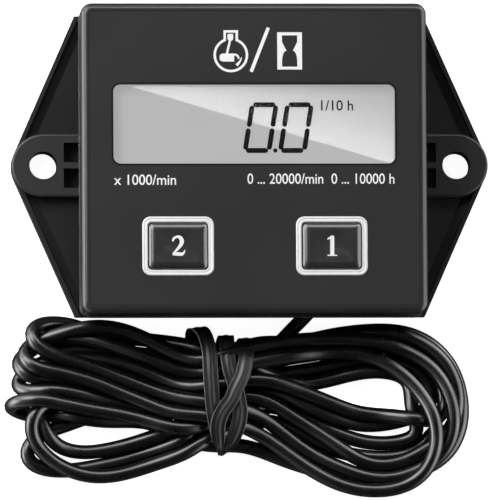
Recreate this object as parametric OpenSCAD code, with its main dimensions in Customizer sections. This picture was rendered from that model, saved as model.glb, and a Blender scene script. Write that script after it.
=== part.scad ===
// Engine hour meter: a flat panel meter with a display, two keys, two mounting ears and a sensing lead.
// It lies on its back, face up. The origin is under the middle of the meter, on its back.

/* [Case] */
// Width of the front case
case_w = 50; // [49:0.5:56]
// Height of the front case, down the face
case_h = 45; // [44:0.5:52]
// Depth of the meter from its back to the rim of its face
depth = 15; // [14.5:0.5:20]
// Radius of the case's four upright corners
corner_r = 1.6; // [1.3:0.1:2.4]
// Radius of the rounded edge round the face
edge_r = 1; // [0.6:0.1:1.2]
// Thickness of the case's side walls
wall = 1.5; // [1.2:0.1:1.7]
// Thickness of the case's face panel
face_t = 1.6; // [1.4:0.1:2]
// Height of the seam between case and base above the back
seam_z = 7; // [6.8:0.1:7.4]

/* [Base and ears] */
// How far the base stands in from the sides of the case
base_inset = 0.65; // [0.5:0.05:0.8]
// Thickness of the base's floor
floor_t = 1.6; // [1.2:0.1:1.6]
// Distance between the two mounting holes
hole_spacing = 60; // [58:0.5:66]
// Diameter of the mounting holes
hole_d = 4; // [3:0.1:5]
// Radius of the ear's round end, and half the width of its pad
ear_r = 4.6; // [4.2:0.1:5.5]
// Height of the pad round the mounting hole
pad_h = 4; // [3.4:0.1:5]
// Height of the rim along the ear's sloping edge
ear_rim_h = 2.8; // [2.6:0.1:3.2]
// Width of that rim's top
ear_rim_w = 0.6; // [0.4:0.1:1]
// Width of the gentle slope between the rim and the web
ear_rim_slope = 1.2; // [0.6:0.1:1.4]
// Thickness of the web between the rim and the base
ear_web_t = 1.8; // [1.2:0.1:2]
// How far the ear's shoulder stands out past the case
ear_shoulder = 0.4; // [0.2:0.1:1]
// Radius of the rounded top edge of the pad
pad_edge_r = 0.35; // [0.2:0.05:0.6]
// Length of the cored pockets beside the base, along the ear
pocket_l = 2.7; // [2:0.1:2.9]
// Width of each cored pocket
pocket_w = 2.85; // [2:0.05:3.2]
// Thickness of the rib between the two pockets
pocket_rib = 0.9; // [0.6:0.1:1.4]
// Thickness of the floor left under each pocket
pocket_floor = 1.2; // [0.8:0.1:1.6]

/* [Display] */
// Distance from the side of the case to the display opening
window_margin = 4.65; // [4.5:0.05:6.5]
// Height of the display opening
window_h = 11.5; // [9:0.1:12]
// Corner radius of the display opening
window_r = 1.05; // [0.6:0.05:2]
// Height of the display's middle above the middle of the face
window_y = 4.9; // [4:0.1:5.4]
// Height of a lit digit
digit_h = 7.35; // [6:0.05:8]
// Width of a lit digit
digit_w = 4.2; // [3.4:0.1:4.8]
// Distance from one digit to the next
digit_pitch = 5.1; // [4.9:0.1:5.6]
// Width of a digit's segment
segment_w = 0.72; // [0.5:0.02:0.85]
// Slant of the digits, in degrees
digit_slant = 9.3; // [0:0.1:12]
// Distance from the middle of the face to the middle of the last digit
digit_x = 6.1; // [3:0.1:8]

/* [Keys] */
// Width of a key cap
key_w = 8.3; // [7.6:0.1:8.8]
// Height of a key cap, down the face
key_l = 6.5; // [6.4:0.1:7.4]
// Corner radius of a key cap
key_r = 0.6; // [0.5:0.05:1]
// Running clearance round a key cap
key_gap = 0.18; // [0.12:0.02:0.24]
// Distance of each key from the middle of the face
key_x = 11.1; // [10.6:0.1:11.4]
// Distance of the keys below the middle of the face
key_y = 12.8; // [12.3:0.1:13.3]
// How far the middle of a key stands above the label
key_rise = 0.75; // [0.6:0.05:1.2]
// Travel of a key
key_travel = 0.5; // [0.3:0.05:0.55]
// Width of the white frame round a key
frame_w = 0.85; // [0.5:0.05:0.9]
// Height of the white frame above the label
frame_rise = 0.2; // [0.1:0.05:0.3]

/* [Lead] */
// Diameter of the lead
lead_d = 2.1; // [1.8:0.1:2.2]
// Height of the tied hank of lead
hank_h = 7; // [5:0.5:9]
// Thickness of the tie's strip
tie_t = 0.8; // [0.5:0.1:1]
// Length of the lead that the tie covers
tie_l = 6.6; // [4:0.2:8]

/* [Hidden] */
$fn = 64;
over = 1; // how far a cutting shape runs past the face that it cuts

// Case, label and window
label_t = 0.25;
label_sink = 0.05;
label_margin = edge_r + 0.15;
label_seat = depth - label_sink - label_t;
face_inner = depth - face_t;
lens_flange_t = 0.6;
lens_flange_w = 1;
lens_fit = 0.05;
recess = 0.8; // depth of the display's recess in the back of the face panel
recess_gap = 0.1;
lens_seat = face_inner + recess;
window_w = case_w - 2 * window_margin;
lens_top = label_seat - 0.1;
inner_w = case_w - 2 * wall;
inner_h = case_h - 2 * wall;
inner_r = 0.8;

// Base, locating rim and gasket
base_w = case_w - 2 * base_inset;
base_h = case_h - 2 * base_inset;
base_r = corner_r - 0.4;
rim_fit = 0.1;
rim_t = 1;
rim_up = 1.6;
rim_w = inner_w - 2 * rim_fit;
rim_h = inner_h - 2 * rim_fit;
room_w = rim_w - 2 * rim_t;
room_h = rim_h - 2 * rim_t;
room_r = 0.8;
gasket_t = 0.5;
shoulder_z = seam_z - gasket_t;

// Screws that hold the case to the base
boss_inset = 2.2;
boss_x = room_w / 2 - boss_inset;
boss_y = room_h / 2 - boss_inset;
boss_r = 2.3;
pillar_r = 2.9;
screw_r = 1;
screw_head_r = 1.9;
screw_head_t = 1.3;
screw_sink = 0.2;
screw_l = 9.4;
screw_gap = 0.15;
thread_fit = 0.03;
drive_w = 0.5;
drive_l = 2.2;
drive_depth = 0.6;

// Display stack, hung from the face
lcd_gap = 0.1;
lcd_t = 2;
lcd_side = 0.85;
lcd_edge = 1.75;
lcd_w = window_w + 2 * lcd_side;
lcd_h = window_h + 2 * lcd_edge;
lcd_top = lens_seat - lens_flange_t - lcd_gap;
recess_w = max(lcd_w, window_w + 2 * lens_flange_w) + 2 * recess_gap;
recess_h = max(lcd_h, window_h + 2 * lens_flange_w) + 2 * recess_gap;
lcd_bottom = lcd_top - lcd_t;
strip_h = 2.3;
strip_w = 1.6;
strip_end = 1.5;
strip_l = lcd_w - 2 * strip_end;
strip_inset = 0.4;
holder_fit = 0.1;
holder_wall = 0.6;
ink_t = 0.05;
board_top = lcd_bottom - strip_h;
board_t = 1.2;
board_bottom = board_top - board_t;
board_gap = 0.4;
board_w = room_w - 2 * board_gap;
board_h = room_h - 2 * board_gap;
holder_inset = 0.1;
holder_w = board_w - 2 * holder_inset;

// Screws that hold the board to posts on the case
post_r = 1.7;
board_screw_r = 0.8;
board_screw_l = 2.8;
board_head_r = 1.5;
board_head_t = 0.8;
post_inset = 3.5; // from the side of the room to the posts beside the keys
post_low = -6.3;
post_high = 3.9; // above the display glass
post_half = 13;
post_places = [
    [-post_half, window_y + lcd_h / 2 + post_high], [post_half, window_y + lcd_h / 2 + post_high],
    [post_inset - room_w / 2, post_low], [room_w / 2 - post_inset, post_low]
];

// Keys and switches
key_flange_t = 0.6;
key_flange_w = 0.7;
key_flange_gap = 0.05;
key_boss_r = 1.5;
key_boss_h = 0.4;
key_edge_r = 0.9;
key_top = depth - label_sink + key_rise;
key_flange_top = face_inner - key_flange_gap;
key_flange_bottom = key_flange_top - key_flange_t;
stem_top = key_flange_bottom - key_boss_h;
stem_r = 1.7;
stem_fit = 0.1;
stem_collar_r = 2.2;
stem_collar_t = 0.75;
switch_w = 6;
switch_plate = 0.5;
switch_floor = 0.3;
switch_top = stem_top - key_travel - 0.35;
collar_top = switch_top - switch_plate - 0.05;
collar_bottom = collar_top - stem_collar_t;
dome_t = 0.1;
dome_r = 2.05;

// Battery under the board
cell_r = 10;
cell_t = 3.2;
cell_x = -8;
cell_y = 3;
tab_t = 0.2;
tab_w = 4;
tab_lap = 3;
tab_clear = 0.8;
cell_drop = 1.4; // from the board down to the cell's cap
cell_bottom = board_bottom - cell_drop - cell_t;
pad_w = 12;

// Small parts under the board
chip_x = 12.5;
chip_y = 8;
chip_r = 3.6;
chip_h = 1.1;
crystal_x = 7;
crystal_y = -2.5;
crystal_r = 1;
crystal_l = 6.2;
crystal_wire_r = 0.15;
resistor_places = [[3.8, 12.6], [6.2, 12.6], [8.6, 12.6], [18, 0], [18, 2.4], [18, 4.8]];
resistor_size = [1.6, 0.8, 0.45];
capacitor_places = [[18, -2.4], [3.8, 10.2]];
capacitor_size = [2, 1.25, 0.9];

// Lead: notch in the base, grommet and route. The route's points are chosen by hand.
lead_r = lead_d / 2;
lead_x = 10.8;
lead_z = 3.4;
notch_x = 9.8;
notch_w = 6.8;
notch_top = 5.6;
notch_wall = 1.3;
notch_back = -12.5;
grommet_r = 1.5;
grommet_flange_r = 2.1;
grommet_flange_t = 0.8;
grommet_inner_r = 1.75;
grommet_inner_t = 0.6;
grommet_fit = 0.02;
lead_face = notch_back - grommet_flange_t;
elbow_r = 2.4;
inner_run = 1;
wire_r = 0.4;
jacket_stop = 0.8;
lead_sides = 8;
LEAD_ROUTE = [
    [10.8, -13.3, 3.4], [10.8, -15, 3.2], [10.7, -17, 2.7], [10.2, -18.8, 2.1],
    [9.3, -20.3, 1.6], [8, -21.8, 1.3], [6.6, -23.2, 1.15], [5, -24.8, 1.1]
];

// Hank: lobes to the left and right of the tie, each a row of circles [x, y, radius] in its outline
tie_x = -4.4;
tie_y = -33.1;
waist_half = 7.6;
LOBE_LEFT = [[-30.6, -26.4, 4], [-20, -27.6, 4.4], [-31.7, -34.6, 4.3], [-28.6, -40.6, 4.6], [-21, -40.4, 4.6]];
LOBE_RIGHT = [[16.5, -32.8, 9.8], [21.8, -35, 9.6], [20, -39, 9], [6, -38.4, 5]];

// A rectangle with round corners, centred
module round_rect(w, h, r) {
    square([w - 2 * r, h], center = true);
    square([w, h - 2 * r], center = true);
    for (x = [-1, 1], y = [-1, 1])
        translate([x * (w / 2 - r), y * (h / 2 - r)]) circle(r);
}

// A plate with round upright corners
module plate(w, h, r, z0, z1) {
    translate([0, 0, z0]) linear_extrude(z1 - z0) round_rect(w, h, r);
}

// Half of a section whose top outer corner is rounded: half width, height, radius
module edge_section(reach, h, r) {
    square([reach, h - r]);
    square([reach - r, h]);
    translate([reach - r, h - r]) intersection() {
        circle(r);
        square(r);
    }
}

// The whole section, both sides
module bar_section(reach, h, r) {
    edge_section(reach, h, r);
    mirror([1, 0]) edge_section(reach, h, r);
}

// A plate whose upright corners and top edge are both rounded: two crossed bars and four turned corners
module soft_plate(w, h, t, r, edge) {
    translate([0, h / 2 - r, 0]) rotate([90, 0, 0]) linear_extrude(h - 2 * r) bar_section(w / 2, t, edge);
    translate([r - w / 2, 0, 0]) rotate([90, 0, 90]) linear_extrude(w - 2 * r) bar_section(h / 2, t, edge);
    for (x = [-1, 1], y = [-1, 1])
        translate([x * (w / 2 - r), y * (h / 2 - r), 0]) rotate_extrude() edge_section(r, t, edge);
}

module at_bosses() {
    for (x = [-1, 1], y = [-1, 1]) translate([x * boss_x, y * boss_y, 0]) children();
}

module at_posts() {
    for (p = post_places) translate(p) children();
}

module at_key(side) {
    translate([side * key_x, -key_y, 0]) children();
}

// Front case: a shell open at the back, with bosses for the case screws and posts for the board
module front_case() {
    color([0.1, 0.1, 0.105]) {
        difference() {
            translate([0, 0, seam_z]) soft_plate(case_w, case_h, depth - seam_z, corner_r, edge_r);
            plate(inner_w, inner_h, inner_r, seam_z - over, face_inner);
            plate(case_w - 2 * label_margin, case_h - 2 * label_margin, corner_r / 2, label_seat, depth + over);
            translate([0, window_y, 0]) {
                plate(window_w, window_h, window_r, seam_z, depth + over);
                plate(recess_w, recess_h, window_r, seam_z, lens_seat);
            }
            for (side = [-1, 1]) at_key(side)
                plate(key_w + 2 * key_gap, key_l + 2 * key_gap, key_r + key_gap, seam_z, depth + over);
        }
        case_boss_set();
    }
}

module case_boss_set() {
    at_bosses() difference() {
        translate([0, 0, shoulder_z]) cylinder(r = boss_r, h = face_inner - shoulder_z + face_t / 4);
        translate([0, 0, shoulder_z - over])
            cylinder(r = screw_r + thread_fit, h = screw_l - shoulder_z + screw_sink + over + 2 * screw_head_t);
    }
    at_posts() difference() {
        translate([0, 0, board_top]) cylinder(r = post_r, h = face_inner - board_top + face_t / 4);
        translate([0, 0, board_top - over]) cylinder(r = board_screw_r + thread_fit, h = board_screw_l + over);
    }
}

// The ear's outline. The sloping edge is tangent to the round end.
shoulder_x = case_w / 2 + ear_shoulder;
ear_x = hole_spacing / 2;
slope_far = norm([ear_x - shoulder_x, base_h / 2]);
slope_angle = atan2(base_h / 2, shoulder_x - ear_x) - acos(ear_r / slope_far);
slope_normal = [cos(slope_angle), sin(slope_angle)];
module ear_outline() {
    top = base_h / 2;
    touch = [ear_x, 0] + ear_r * slope_normal;
    corner = [(ear_x * slope_normal[0] + ear_r - top * slope_normal[1]) / slope_normal[0], top];
    translate([ear_x, 0]) circle(ear_r);
    polygon([[0, top], corner, touch, [ear_x, 0], [touch[0], -touch[1]], [corner[0], -top], [0, -top]]);
}

// The raised pad: a half-round end with a rounded top edge, run on into the base
module ear_pad() {
    translate([ear_x, 0, 0]) rotate_extrude() edge_section(ear_r, pad_h, pad_edge_r);
    translate([base_w / 2 - 1, 0, 0]) rotate([90, 0, 90])
        linear_extrude(ear_x - base_w / 2 + 1) bar_section(ear_r, pad_h, pad_edge_r);
}

// A rim along one sloping edge: upright outside, flat on top, a short step down, and a gentle slope to the web
module ear_rim() {
    far = slope_far + ear_r;
    step = 0.15;
    inner = ear_rim_w + step + ear_rim_slope;
    mid_h = (ear_rim_h + ear_web_t) / 2;
    translate([ear_x + ear_r * slope_normal[0], ear_r * slope_normal[1], 0]) rotate([90, 0, slope_angle])
        translate([0, 0, -far]) linear_extrude(far) polygon([
            [over, 0], [over, ear_rim_h], [-ear_rim_w, ear_rim_h], [-ear_rim_w - step, mid_h],
            [-inner, ear_web_t], [-inner, 0]
        ]);
}

module ear() {
    difference() {
        linear_extrude(ear_web_t) ear_outline();
        translate([0, 0, -over]) linear_extrude(ear_rim_h) square([base_w - 2, base_h + over], center = true);
    }
    for (side = [0, 1]) intersection() {
        mirror([0, side, 0]) ear_rim();
        linear_extrude(ear_rim_h) ear_outline();
    }
    ear_pad();
}

// Rear base: a tray with two ears, screw pillars and a notch where the lead comes out
module rear_base() {
    color([0.085, 0.085, 0.09]) difference() {
        union() {
            plate(base_w, base_h, base_r, 0, shoulder_z);
            plate(rim_w, rim_h, room_r, shoulder_z - over, seam_z + rim_up);
            for (side = [0, 1]) mirror([side, 0, 0]) ear();
        }
        difference() {
            plate(room_w, room_h, room_r, floor_t, seam_z + rim_up + over);
            at_bosses() cylinder(r = pillar_r, h = shoulder_z);
            notch_cover();
        }
        lead_notch();
        at_bosses() {
            translate([0, 0, -over]) cylinder(r = screw_head_r + screw_gap, h = screw_sink + screw_head_t + over);
            cylinder(r = screw_r + screw_gap, h = shoulder_z + over);
            translate([0, 0, shoulder_z]) cylinder(r = boss_r + screw_gap, h = seam_z + rim_up);
        }
        for (side = [0, 1]) mirror([side, 0, 0]) ear_cuts();
    }
}

module ear_cuts() {
    translate([ear_x, 0, -over]) cylinder(d = hole_d, h = pad_h + 2 * over);
    for (y = [-1, 1])
        translate([base_w / 2, y * (pocket_rib + pocket_w) / 2 - pocket_w / 2, pocket_floor])
            cube([pocket_l, pocket_w, pad_h]);
}

module lead_notch() {
    translate([notch_x - notch_w / 2, -base_h / 2 - over, -over])
        cube([notch_w, notch_back + base_h / 2 + over, notch_top + over]);
    translate([lead_x, notch_back - over, lead_z]) rotate([-90, 0, 0])
        cylinder(r = grommet_r, h = notch_wall + 2 * over);
}

// The part of the tray's room that the notch's cover takes up
module notch_cover() {
    translate([notch_x - notch_w / 2 - notch_wall, -base_h / 2, 0])
        cube([notch_w + 2 * notch_wall, notch_back + notch_wall + base_h / 2, notch_top + notch_wall]);
}

// Flat seal between the base's shoulder and the rim of the case
module case_gasket() {
    color([0.2, 0.2, 0.2]) difference() {
        plate(base_w, base_h, base_r, shoulder_z, seam_z);
        plate(rim_w + 2 * rim_fit, rim_h + 2 * rim_fit, inner_r, shoulder_z - over, seam_z + over);
    }
}

// A pan-head screw standing on its head, with a cross recess
module screw(r, l, head_r, head_t) {
    difference() {
        union() {
            cylinder(r = head_r, h = head_t);
            cylinder(r = r, h = head_t + l);
        }
        for (turn = [0, 90]) rotate(turn)
            translate([-drive_l * head_r / 3.8, -drive_w / 2, -over])
                cube([drive_l * head_r / 1.9, drive_w, over + drive_depth * head_t / 1.3]);
    }
}

module case_screws() {
    color([0.6, 0.6, 0.62]) at_bosses() translate([0, 0, screw_sink])
        screw(screw_r, screw_l - screw_head_t, screw_head_r, screw_head_t);
}

module board_screws() {
    color([0.7, 0.68, 0.6]) at_posts() translate([0, 0, board_bottom - board_head_t])
        screw(board_screw_r, board_t + board_screw_l - 0.3, board_head_r, board_head_t);
}

// Printed film on the face, cut out for the display and the keys
module face_label() {
    color([0.16, 0.16, 0.16]) difference() {
        plate(case_w - 2 * label_margin - 0.1, case_h - 2 * label_margin - 0.1, corner_r / 2,
            label_seat, label_seat + label_t);
        translate([0, window_y, 0]) plate(window_w, window_h, window_r, label_seat - over, depth + over);
        for (side = [-1, 1]) at_key(side)
            plate(key_w + 2 * key_gap, key_l + 2 * key_gap, key_r + key_gap, label_seat - over, depth + over);
    }
}

// Clear window: a boss that fills the opening and a flange behind the face panel
module display_window() {
    color([0.85, 0.9, 0.9, 0.4]) translate([0, window_y, 0]) {
        plate(window_w - 2 * lens_fit, window_h - 2 * lens_fit, window_r - lens_fit, lens_seat - 0.01, lens_top);
        plate(window_w + 2 * lens_flange_w, window_h + 2 * lens_flange_w, window_r,
            lens_seat - lens_flange_t, lens_seat);
    }
}

module lcd_panel() {
    color([0.73, 0.73, 0.73]) translate([-lcd_w / 2, window_y - lcd_h / 2, lcd_bottom]) cube([lcd_w, lcd_h, lcd_t]);
}

// One segment of a digit: a bar with pointed ends, l long
module segment(l) {
    half = segment_w / 2;
    polygon([[-l / 2, 0], [half - l / 2, half], [l / 2 - half, half], [l / 2, 0], [l / 2 - half, -half],
        [half - l / 2, -half]]);
}

// A lit nought, centred and upright
module nought() {
    half_w = (digit_w - segment_w) / 2;
    half_h = (digit_h - segment_w) / 2;
    slit = 0.12;
    for (y = [-1, 1]) translate([0, y * half_h]) segment(2 * half_w - slit);
    for (x = [-1, 1], y = [-1, 1])
        translate([x * half_w, y * half_h / 2]) rotate(90) segment(half_h - slit);
}

// The reading 0.0, slanted, as thin ink on top of the display glass
module lcd_digits() {
    shear = [[1, tan(digit_slant), 0, 0], [0, 1, 0, 0], [0, 0, 1, 0], [0, 0, 0, 1]];
    color([0.05, 0.05, 0.05]) translate([digit_x, window_y - 0.4, lcd_top]) linear_extrude(ink_t)
        multmatrix(shear) {
            nought();
            translate([-digit_pitch, 0]) nought();
            translate([-digit_pitch / 2, (segment_w - digit_h) / 2])
                square([segment_w * 0.8, segment_w * 0.8], center = true);
        }
}

// Frame that holds the display glass over its two contact strips
module lcd_holder() {
    color([0.75, 0.75, 0.72]) translate([0, window_y, 0]) difference() {
        plate(holder_w, lcd_h + 2 * (holder_fit + holder_wall), 0.5, board_top, lcd_top - 0.3);
        translate([-lcd_w / 2 - holder_fit, -lcd_h / 2 - holder_fit, lcd_bottom])
            cube([lcd_w + 2 * holder_fit, lcd_h + 2 * holder_fit, lcd_t + over]);
        for (side = [-1, 1]) translate([0, side * strip_offset(), board_top])
            cube([strip_l + 0.2, strip_w + 0.2, 2 * strip_h + over], center = true);
        translate([0, 0, board_top])
            cube([strip_l, 2 * strip_offset() - strip_w - 2 * holder_wall, 2 * strip_h + over], center = true);
    }
}

function strip_offset() = lcd_h / 2 - strip_inset - strip_w / 2;

// Rubber strip of carbon layers that joins the glass to the board
module contact_strip(side) {
    color([0.85, 0.45, 0.55]) translate([-strip_l / 2, window_y + side * strip_offset() - strip_w / 2, board_top])
        cube([strip_l, strip_w, strip_h]);
}

module circuit_board() {
    color([0.05, 0.32, 0.16]) difference() {
        plate(board_w, board_h, 0.5, board_bottom, board_top);
        at_bosses() cylinder(r = boss_r + 0.3, h = depth);
        at_posts() cylinder(r = board_screw_r + screw_gap, h = depth);
        translate([lead_x, inner_lead_y(), 0]) cylinder(r = wire_r + 0.1, h = depth);
    }
}

// Moulded drop of resin over the chip: the cap of a ball
module chip_cover() {
    ball_r = (chip_r * chip_r + chip_h * chip_h) / (2 * chip_h);
    color([0.06, 0.06, 0.06]) intersection() {
        translate([chip_x, chip_y, board_bottom - chip_h + ball_r]) sphere(ball_r);
        translate([chip_x, chip_y, board_bottom - 2 * chip_h]) cylinder(r = chip_r + 1, h = 2 * chip_h);
    }
}

// Crystal in its can, lying under the board on its two wires
module crystal_can() {
    color([0.75, 0.75, 0.76]) translate([crystal_x, crystal_y, board_bottom - crystal_r - 0.1]) {
        rotate([0, 90, 0]) cylinder(r = crystal_r, h = crystal_l, center = true);
        for (y = [-0.5, 0.5]) translate([crystal_l / 2 - 0.2, y, 0]) {
            rotate([0, 90, 0]) cylinder(r = crystal_wire_r, h = 1.2);
            translate([1.2 - crystal_wire_r, 0, -crystal_wire_r])
                cylinder(r = crystal_wire_r, h = crystal_r + 0.1 + crystal_wire_r);
        }
    }
}

module chips(places, size) {
    for (p = places) translate([p[0] - size[0] / 2, p[1] - size[1] / 2, board_bottom - size[2]]) cube(size);
}

module resistors() {
    color([0.12, 0.12, 0.12]) chips(resistor_places, resistor_size);
}

module capacitors() {
    color([0.65, 0.5, 0.32]) chips(capacitor_places, capacitor_size);
}

// Coin cell, its smaller cap upwards
module battery() {
    color([0.78, 0.78, 0.78]) translate([cell_x, cell_y, cell_bottom]) rotate_extrude() {
        square([cell_r, cell_t - 0.6]);
        translate([0, cell_t - 0.8]) square([cell_r - 1.2, 0.8]);
    }
}

// Strip from under the cell, up past its side to the board
module battery_tab_positive() {
    foot = cell_x - cell_r - tab_clear;
    color([0.8, 0.78, 0.7]) translate([0, cell_y - tab_w / 2, 0]) {
        translate([foot - tab_t, 0, cell_bottom - tab_t]) cube([cell_r + tab_clear + tab_lap, tab_w, tab_t]);
        translate([foot - tab_t, 0, cell_bottom - tab_t]) cube([tab_t, tab_w, board_bottom - cell_bottom + tab_t]);
    }
}

// Strip from the cell's cap to the board
module battery_tab_negative() {
    foot = cell_x + cell_r + tab_clear;
    top = cell_bottom + cell_t;
    color([0.8, 0.78, 0.7]) translate([0, cell_y - tab_w / 2, 0]) {
        translate([cell_x - tab_lap, 0, top]) cube([cell_r + tab_clear + tab_lap + tab_t, tab_w, tab_t]);
        translate([foot, 0, top]) cube([tab_t, tab_w, board_bottom - top]);
    }
}

// Foam between the base's floor and the cell's tab
module battery_pad() {
    color([0.25, 0.25, 0.27]) translate([cell_x - pad_w / 2, cell_y - pad_w / 2, floor_t])
        cube([pad_w, pad_w, cell_bottom - tab_t - floor_t]);
}

module switch_body(side) {
    color([0.13, 0.13, 0.13]) at_key(side) difference() {
        plate(switch_w, switch_w, 0.3, board_top, switch_top);
        translate([0, 0, board_top + switch_floor])
            cylinder(r = stem_collar_r + stem_fit, h = switch_top - switch_plate - board_top - switch_floor);
        cylinder(r = stem_r + stem_fit, h = depth);
    }
    color([0.13, 0.13, 0.13]) at_key(side) plate(switch_w - 1, switch_w - 1, 0.3, board_top, board_top + switch_floor);
}

// Thin snap dome that gives the key its click and its return
module switch_dome(side) {
    rise = collar_bottom - board_top - switch_floor;
    ball_r = (dome_r * dome_r + rise * rise) / (2 * rise);
    color([0.8, 0.78, 0.7]) at_key(side) translate([0, 0, board_top + switch_floor]) rotate_extrude()
        intersection() {
            square([dome_r, rise]);
            translate([0, rise - ball_r]) difference() {
                circle(ball_r);
                circle(ball_r - dome_t);
            }
        }
}

// Plunger of the switch, kept in by its collar
module switch_stem(side) {
    color([0.75, 0.74, 0.7]) at_key(side) {
        translate([0, 0, collar_bottom]) cylinder(r = stem_collar_r, h = stem_collar_t);
        translate([0, 0, collar_bottom]) cylinder(r = stem_r, h = stem_top - collar_bottom);
    }
}

// Key cap: a cushion-shaped top with rounded edges, a flange that keeps it in, and a boss over the plunger
module key(side) {
    h = key_top - key_flange_bottom;
    color([0.08, 0.08, 0.08]) at_key(side) {
        translate([0, 0, key_flange_bottom]) intersection() {
            plate(key_w, key_l, key_r, 0, h);
            translate([0, key_l / 2 + over, 0]) rotate([90, 0, 0]) linear_extrude(key_l + 2 * over)
                bar_section(key_w / 2, h, key_edge_r);
            translate([-key_w / 2 - over, 0, 0]) rotate([90, 0, 90]) linear_extrude(key_w + 2 * over)
                bar_section(key_l / 2, h, key_edge_r);
        }
        plate(key_w + 2 * key_flange_w, key_l + 2 * key_flange_w, key_r, key_flange_bottom, key_flange_top);
        translate([0, 0, stem_top]) cylinder(r = key_boss_r, h = key_boss_h + key_flange_t / 2);
    }
}

// White frame that stands on the label round a key
module key_frame(side) {
    w = key_w + 2 * key_gap;
    l = key_l + 2 * key_gap;
    foot = label_seat + label_t;
    color([0.93, 0.93, 0.93]) at_key(side) difference() {
        translate([0, 0, foot]) soft_plate(w + 2 * frame_w, l + 2 * frame_w, frame_rise, key_r + frame_w, frame_rise / 2);
        plate(w, l, key_r + key_gap, foot - over, foot + over);
    }
}

// Rubber bush in the notch's wall
module lead_grommet() {
    color([0.1, 0.1, 0.1]) translate([lead_x, lead_face, lead_z]) rotate([-90, 0, 0]) difference() {
        union() {
            cylinder(r = grommet_flange_r, h = grommet_flange_t);
            cylinder(r = grommet_r - grommet_fit, h = grommet_flange_t + notch_wall + grommet_inner_t);
            translate([0, 0, grommet_flange_t + notch_wall]) cylinder(r = grommet_inner_r, h = grommet_inner_t);
        }
        translate([0, 0, -over])
            cylinder(r = lead_r, h = grommet_flange_t + notch_wall + grommet_inner_t + 2 * over);
    }
}

function inner_lead_y() = notch_back + notch_wall + grommet_inner_t + inner_run + elbow_r;

// The lead's own end inside the base: through the grommet, round an elbow and up to the board
module lead_inner() {
    bend_y = inner_lead_y() - elbow_r;
    jacket_top = board_bottom - jacket_stop;
    color([0.07, 0.07, 0.07]) {
        translate([lead_x, lead_face, lead_z]) rotate([-90, 0, 0]) cylinder(r = lead_r, h = bend_y - lead_face);
        translate([lead_x, bend_y, lead_z + elbow_r]) rotate([0, 90, 0])
            rotate_extrude(angle = 90) translate([elbow_r, 0]) circle(lead_r);
        translate([lead_x, inner_lead_y(), lead_z + elbow_r])
            cylinder(r = lead_r, h = jacket_top - lead_z - elbow_r);
        translate([lead_x, inner_lead_y(), jacket_top - 0.1]) cylinder(r = wire_r, h = board_top - jacket_top + 0.4);
    }
}

// Cone of solder round the wire, on top of the board
module lead_solder() {
    color([0.75, 0.75, 0.77]) translate([lead_x, inner_lead_y(), board_top]) difference() {
        cylinder(r1 = 1, r2 = wire_r + 0.1, h = 0.5);
        translate([0, 0, -over]) cylinder(r = wire_r, h = 3 * over);
    }
}

function unit(v) = v / norm(v);
function heading(line, i) = unit(line[min(i + 1, len(line) - 1)] - line[max(i - 1, 0)]);
function ring(p, t, r, n) =
    let (side = unit(cross(t, [0, 0, 1])), up = cross(side, t))
    [for (k = [0:n - 1]) p + r * (cos(360 * k / n) * side + sin(360 * k / n) * up)];

// A tube along a line of points: a ring of corners at each point, joined to the next, with closed ends
module tube(line, r, n) {
    last = len(line) - 1;
    corners = [for (i = [0:last]) each ring(line[i], i == 0 ? [0, -1, 0] : heading(line, i), r, n)];
    sides = [for (i = [0:last - 1], k = [0:n - 1])
        [i * n + k, i * n + (k + 1) % n, (i + 1) * n + (k + 1) % n, (i + 1) * n + k]];
    near = [for (k = [n - 1:-1:0]) k];
    far = [for (k = [0:n - 1]) last * n + k];
    polyhedron(corners, concat(sides, [near, far]), convexity = 4);
}

module lead_tube() {
    color([0.07, 0.07, 0.07]) tube(LEAD_ROUTE, lead_r, lead_sides);
}

module lobe(circles) {
    hull() {
        for (c = circles) translate([c[0], c[1]]) circle(c[2], $fn = 32);
        translate([tie_x, tie_y]) square([1, 2 * waist_half - 1], center = true);
    }
}

// The tied hank: two lobes of turns and the waist that the tie draws in
module lead_hank() {
    color([0.07, 0.07, 0.07]) {
        difference() {
            linear_extrude(hank_h) {
                lobe(LOBE_LEFT);
                lobe(LOBE_RIGHT);
            }
            translate([tie_x, tie_y, hank_h / 2]) cube([tie_l, 4 * waist_half, 2 * hank_h], center = true);
        }
        translate([tie_x, tie_y, hank_h / 2])
            cube([tie_l, 2 * waist_half - 2 * tie_t, hank_h - 2 * tie_t], center = true);
    }
}

// Strip wound round the waist
module twist_tie() {
    color([0.09, 0.09, 0.09]) translate([tie_x, tie_y, hank_h / 2]) difference() {
        cube([tie_l, 2 * waist_half, hank_h], center = true);
        cube([tie_l + over, 2 * waist_half - 2 * tie_t, hank_h - 2 * tie_t], center = true);
    }
}

front_case();
rear_base();
case_gasket();
case_screws();
face_label();
display_window();
lcd_panel();
lcd_digits();
lcd_holder();
contact_strip(1);  // contact_strip_upper
contact_strip(-1);  // contact_strip_lower
circuit_board();
board_screws();
chip_cover();
crystal_can();
resistors();
capacitors();
battery();
battery_tab_positive();
battery_tab_negative();
battery_pad();
switch_body(1);  // switch_body_s1
switch_body(-1);  // switch_body_s2
switch_dome(1);  // switch_dome_s1
switch_dome(-1);  // switch_dome_s2
switch_stem(1);  // switch_stem_s1
switch_stem(-1);  // switch_stem_s2
key(1);  // key_s1
key(-1);  // key_s2
key_frame(1);  // key_frame_s1
key_frame(-1);  // key_frame_s2
lead_grommet();
lead_inner();
lead_solder();
lead_tube();
lead_hank();
twist_tie();
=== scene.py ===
from math import radians

import bmesh
import bpy
import numpy as np
from mathutils import Matrix, Vector


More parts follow.
